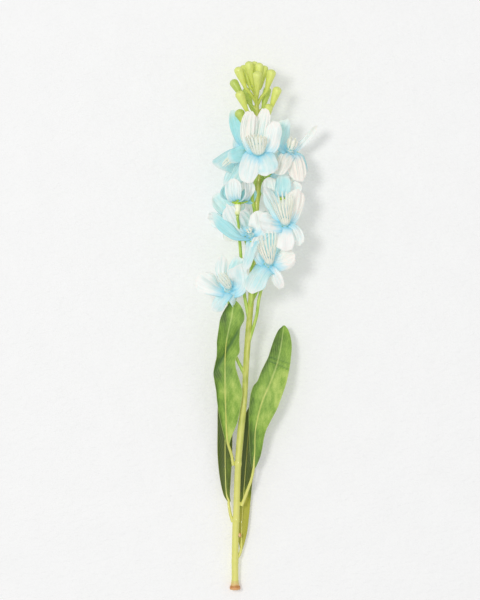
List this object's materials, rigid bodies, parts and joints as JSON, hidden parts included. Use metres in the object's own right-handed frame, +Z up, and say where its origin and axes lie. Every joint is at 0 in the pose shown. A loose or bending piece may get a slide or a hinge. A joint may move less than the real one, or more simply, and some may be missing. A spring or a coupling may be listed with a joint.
{
  "type": "delphinium flower spike",
  "caption": "Cut delphinium flower spike lying flat: cloth petals in white and pale blue, a tip of green buds, and lance-shaped leaves on a long moulded stem.",
  "frame": {"origin": "middle of the underside of the box around the lying spike, on the surface it rests on", "axes": "+Y along the stem from its cut end towards the buds, +Z up from the surface, +X across the spike"},
  "size_m": [0.0822, 0.372, 0.0479],
  "materials": {
    "stem": "satin yellow-green moulded plastic with a soft bloom",
    "stem_end": "peach-brown cut end",
    "leaf": "printed green cloth with pressed veins",
    "bud": "satin yellow-green moulded plastic",
    "calyx": "lime green star on a pale cream tube",
    "petal": "white cloth dyed sky blue towards the throat",
    "stamen": "cream threads, teal at the foot"
  },
  "bodies": {
    "root": {"stem": "stem", "stem_end": "stem_end", "leaf_1": "leaf", "leaf_2": "leaf", "leaf_3": "leaf", "leaf_4": "leaf", "flower_01_calyx": "calyx", "flower_01_petals": "petal", "flower_01_stamens": "stamen", "flower_02_calyx": "calyx", "flower_02_petals": "petal", "flower_02_stamens": "stamen", "flower_03_calyx": "calyx", "flower_03_petals": "petal", "flower_03_stamens": "stamen", "flower_04_calyx": "calyx", "flower_04_petals": "petal", "flower_04_stamens": "stamen", "flower_05_calyx": "calyx", "flower_05_petals": "petal", "flower_05_stamens": "stamen", "flower_06_calyx": "calyx", "flower_06_petals": "petal", "flower_06_stamens": "stamen", "flower_07_calyx": "calyx", "flower_07_petals": "petal", "flower_07_stamens": "stamen", "flower_08_calyx": "calyx", "flower_08_petals": "petal", "flower_08_stamens": "stamen", "flower_09_calyx": "calyx", "flower_09_petals": "petal", "flower_09_stamens": "stamen", "flower_10_calyx": "calyx", "flower_10_petals": "petal", "flower_10_stamens": "stamen", "flower_11_calyx": "calyx", "flower_11_petals": "petal", "flower_11_stamens": "stamen", "flower_12_calyx": "calyx", "flower_12_petals": "petal", "flower_12_stamens": "stamen", "bud_01": "bud", "bud_02": "bud", "bud_03": "bud", "bud_04": "bud", "bud_05": "bud", "bud_06": "bud", "bud_07": "bud", "bud_08": "bud", "bud_09": "bud", "bud_10": "bud", "bud_11": "bud", "bud_12": "bud", "bud_13": "bud", "bud_14": "bud", "bud_15": "bud"}
  },
  "joints": []
}
